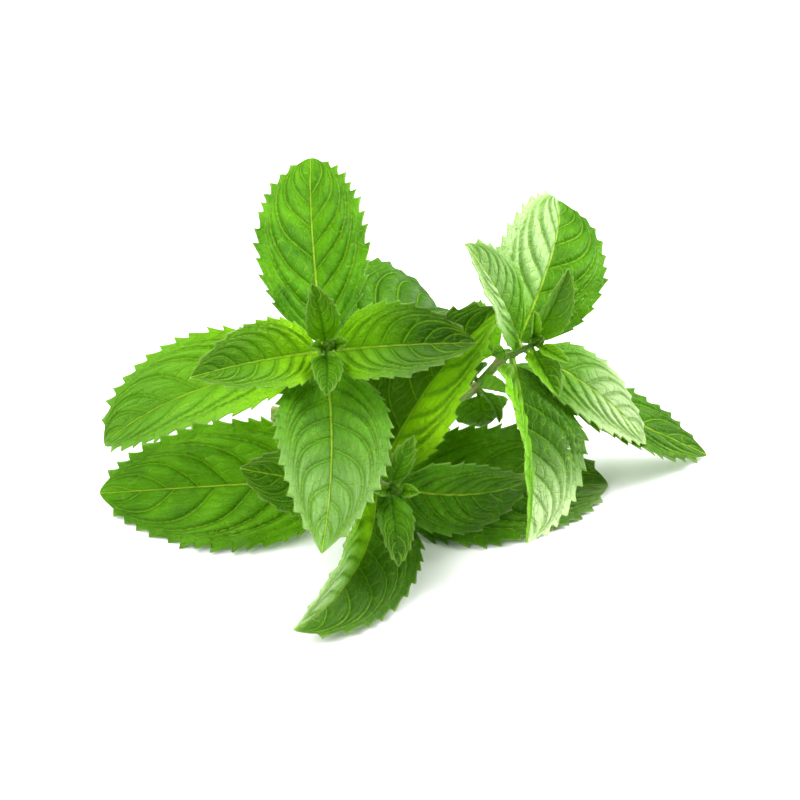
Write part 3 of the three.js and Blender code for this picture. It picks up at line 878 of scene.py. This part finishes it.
def upper_leaf_material():
    """The upper face: saturated green, with pale veins and a thin pale margin, painted shade beside
    its veins and painted highlights where it is washed out.
    """
    s = Shader("leaf_upper")
    place, midrib, side, beside, net, fine, rung = leaf_veins(s)
    yellow, pale = s.field("yellow"), s.field("pale")
    clouds = s.noise(place, 0.11, 4, 0.6)
    panel = s.add("CombineXYZ", {0: s.times(s.field("phase"), 0.8), 2: s.field("rungs")})
    patches = s.noise(s.stretch(panel, (1, 1, 0.35)), 1.1, 1)
    grain = s.noise(place, 2.2, 3, 0.6)
    painted_shade_beyond_vein = s.step(s.maths("FRACT", s.field("phase")), 0.55, 0.05)
    midrib_colour = s.mix(s.field("young"), rgb(176, 208, 56), rgb(52, 96, 14))
    green = s.cover(
        s.mix(s.step(clouds, 0.32, 0.68), rgb(30, 94, 2), rgb(90, 158, 6)),
        (s.step(patches, 0.35, 0.65), 0.3, rgb(110, 178, 12)),
        (s.step(yellow, 0, 1), 1, rgb(118, 178, 3)),
        (s.step(yellow, 0.8, 2.2), 1, rgb(164, 222, 6)),
        # darker towards the tip: partly the leaf's own deeper green, partly painted shade
        (s.field("dark"), 1, rgb(24, 62, 8)),
        # painted highlight: a whitish wash in place of the light's reflection
        (pale, 0.75, rgb(134, 176, 96)),
        (s.step(pale, 0.45, 1.75), 1, rgb(208, 230, 174)),
        (s.step(grain, 0.4, 0.75), 0.3, rgb(96, 150, 40)),
        (fine, 0.12, rgb(30, 84, 4)),
        (net, 0.24, rgb(124, 178, 36)),
        (rung, 0.36, rgb(134, 184, 40)),
        # painted shade in the grooves beside the side veins and on the tip side of each vein
        (beside, 0.42, VEIN_SHADE),
        (s.times(painted_shade_beyond_vein, s.field("veined")), 0.3, VEIN_SHADE),
        (side, 0.55, rgb(146, 192, 44)),
        # painted shade beside the midrib
        (s.step(s.field("midrib"), 3.2, 1.2), 0.45, VEIN_SHADE),
        (midrib, 0.8, midrib_colour),
        (s.step(s.field("margin"), 0.5, 0.1), 0.42, rgb(156, 182, 104)),
        (s.step(s.field("toothed"), 0.55, 0.95), 0.5, rgb(138, 112, 70)),
    )
    sunken = (net, -0.7), (beside, -1.6), (rung, -1.0), (midrib, -1.0), (fine, -0.3)
    gloss = {
        "Base Color": green,
        "Roughness": s.scaled(grain, 0.28, 0.44),
        "Specular IOR Level": 0.2,
        "Specular Tint": (0.9, 1, 0.6, 1),
        "Normal": s.bump(0.8, 0.00022, *sunken, (grain, 0.35)),
    }
    lets_through = {"From Min": 1.3, "From Max": 2.0, "To Min": 0.46, "To Max": 0.15}
    share = s.add("MapRange", {"Value": pale, **lets_through})
    return s.finish_thin(gloss, s.mix(0.52, green, GLOW), share)


def lower_leaf_material():
    """The lower face: paler and duller, with raised veins."""
    s = Shader("leaf_lower")
    place, midrib, side, _, net, fine, rung = leaf_veins(s)
    grain = s.noise(place, 2.6, 3, 0.6)
    green = s.cover(
        s.mix(s.step(grain, 0.3, 0.75), rgb(84, 134, 36), rgb(108, 156, 56)),
        (s.step(s.field("yellow"), 0, 1), 1, rgb(140, 206, 16)),
        (net, 0.3, LOWER_NET),
        (rung, 0.3, LOWER_NET),
        (side, 0.6, rgb(160, 194, 100)),
        (midrib, 0.8, rgb(174, 200, 112)),
    )
    matt = {
        "Base Color": green,
        "Roughness": s.scaled(grain, 0.5, 0.7),
        "Normal": s.bump(0.8, 0.0002, (net, 0.7), (fine, 0.3), (rung, 0.7), (grain, 0.4)),
        "Sheen Weight": 0.1,
    }
    return s.finish_thin(matt, s.mix(0.6, green, GLOW), 0.46)


def stem_material():
    """Whitish green with fine lengthwise streaks, and brownish pink at the nodes."""
    s = Shader("stem_skin")
    place = s.field("stem_place", "Vector")
    streaks = s.noise(s.stretch(place, (3, 0.25, 0)), 3.0, 4, 0.65)
    fuzz = s.noise(s.add("TexCoord", output="Object"), 2600.0, 2, 0.6)
    blush = s.times(s.step(s.noise(place, 0.4, 2), 0.35, 0.65), s.field("near_node"))
    green = s.cover(
        s.mix(s.step(streaks, 0.3, 0.7), rgb(112, 152, 34), rgb(160, 190, 74)),
        (s.step(s.field("age"), 0.4, 0.1), 0.85, rgb(92, 144, 26)),
        (blush, 0.7, rgb(168, 112, 88)),
        (fuzz, 0.08, rgb(190, 208, 136)),
    )
    skin = {
        "Base Color": green,
        "Roughness": s.scaled(fuzz, 0.45, 0.7),
        "Normal": s.bump(0.7, 0.0003, (streaks, 1), (fuzz, 0.6)),
        "Sheen Weight": 0.15,
    }
    return s.finish_thin(skin, green, 0.15)


def cut_material():
    """The stem's cut end: a green ring around a moist, whitish pith."""
    s = Shader("stem_cut")
    cells = s.cells(s.add("TexCoord", output="Object"), 3500.0)
    pith = s.mix(s.step(s.field("cut"), 0.1, 0.45), rgb(128, 160, 76), rgb(206, 214, 168))
    moist = {
        "Base Color": s.cover(pith, (cells, 0.4, rgb(166, 178, 112))),
        "Roughness": s.scaled(cells, 0.3, 0.55),
        "Normal": s.bump(0.6, 0.0002, (cells, 1)),
    }
    return s.finish(s.add("BsdfPrincipled", moist))


def water_material():
    """Clear water."""
    s = Shader("water")
    cloud = s.noise(s.add("TexCoord", output="Object"), 900.0)
    clear = {
        "Base Color": s.mix(cloud, rgb(244, 250, 244), rgb(255, 255, 255)),
        "Roughness": s.scaled(cloud, 0.01, 0.05),
        "IOR": 1.33,
        "Transmission Weight": 1.0,
    }
    return s.finish(s.add("BsdfPrincipled", clear))


def floor_material():
    """The photograph's plain white surface."""
    s = Shader("white_floor")
    white = {"Base Color": (0.9, 0.9, 0.9, 1), "Roughness": 0.85}
    return s.finish(s.add("BsdfPrincipled", white))


# ---------------------------------------------------------------------------------------------
# Stage, in metres

AIM = Vector((-2, 6.5, 30.7)) * MM
CAMERA_DISTANCE = 0.64
CAMERA_ELEVATION = 35
FLOOR_SIZE = 8
WORLD_STRENGTH = 0.3


def aim(piece, azimuth, elevation, distance):
    """Points a camera or a light at the sprig. Azimuth 0 is the camera's side and 90 its right."""
    turn, rise = math.radians(azimuth), math.radians(elevation)
    level = math.cos(rise)
    back = Vector((math.sin(turn) * level, -math.cos(turn) * level, math.sin(rise)))
    piece.location = AIM + back * distance
    piece.rotation_euler = (-back).to_track_quat("-Z", "Y").to_euler()


def make_camera():
    """The photograph's camera: a long lens, a little above the sprig."""
    lens = bpy.data.cameras.new("camera")
    lens.lens = 100
    lens.sensor_width = 36
    lens.clip_start = 0.01
    camera = add_piece("camera", lens)
    aim(camera, 0, CAMERA_ELEVATION, CAMERA_DISTANCE)
    bpy.context.scene.camera = camera


def make_light(name, azimuth, elevation, distance, width, height, power):
    """A soft light, aimed at the sprig."""
    lamp = bpy.data.lights.new(name, "AREA")
    lamp.shape = "RECTANGLE"
    lamp.size = width
    lamp.size_y = height
    lamp.energy = power
    aim(add_piece(name, lamp), azimuth, elevation, distance)


def make_floor():
    """The surface under the sprig, at height 0."""
    mesh = bpy.data.meshes.new("floor")
    edge = FLOOR_SIZE / 2
    corners = [(-edge, -edge, 0), (edge, -edge, 0), (edge, edge, 0), (-edge, edge, 0)]
    mesh.from_pydata(corners, [], [(0, 1, 2, 3)])
    mesh.materials.append(floor_material())
    floor = add_piece("floor", mesh)


def make_stage():
    """The floor, the even light of a white room, and three soft lights."""
    make_floor()
    world = bpy.data.worlds.new("studio")
    world.use_nodes = True
    background = world.node_tree.nodes["Background"]
    background.inputs["Color"].default_value = (1, 1, 1, 1)
    background.inputs["Strength"].default_value = WORLD_STRENGTH
    bpy.context.scene.world = world
    bpy.context.scene.view_settings.view_transform = "Standard"
    make_light("key", azimuth=105, elevation=38, distance=0.9, width=0.5, height=0.9, power=21)
    make_light("top", azimuth=-150, elevation=60, distance=1.1, width=1.1, height=1.1, power=13)
    make_light("fill", azimuth=-55, elevation=42, distance=1.1, width=1.0, height=1.0, power=17)


# ---------------------------------------------------------------------------------------------
# Assembly

make_camera()
make_stage()
leaf_faces = [upper_leaf_material(), lower_leaf_material()]
stem_faces = [stem_material(), cut_material()]
for shoot, nodes, leaves in (
    ("main", MAIN_STEM, MAIN_LEAVES),
    ("left", LEFT_STEM, LEFT_LEAVES),
    ("front", FRONT_STEM, FRONT_LEAVES),
):
    stem_piece(shoot, nodes, stem_faces)
    bud_piece(shoot, nodes, leaf_faces[:1] * 2)
    for leaf in leaves:
        leaf_piece(shoot, nodes, leaf, leaf_faces)
        if (shoot, leaf.name) == WET_LEAF:
            drops_piece(f"{shoot}_drops", nodes, leaf, water_material())
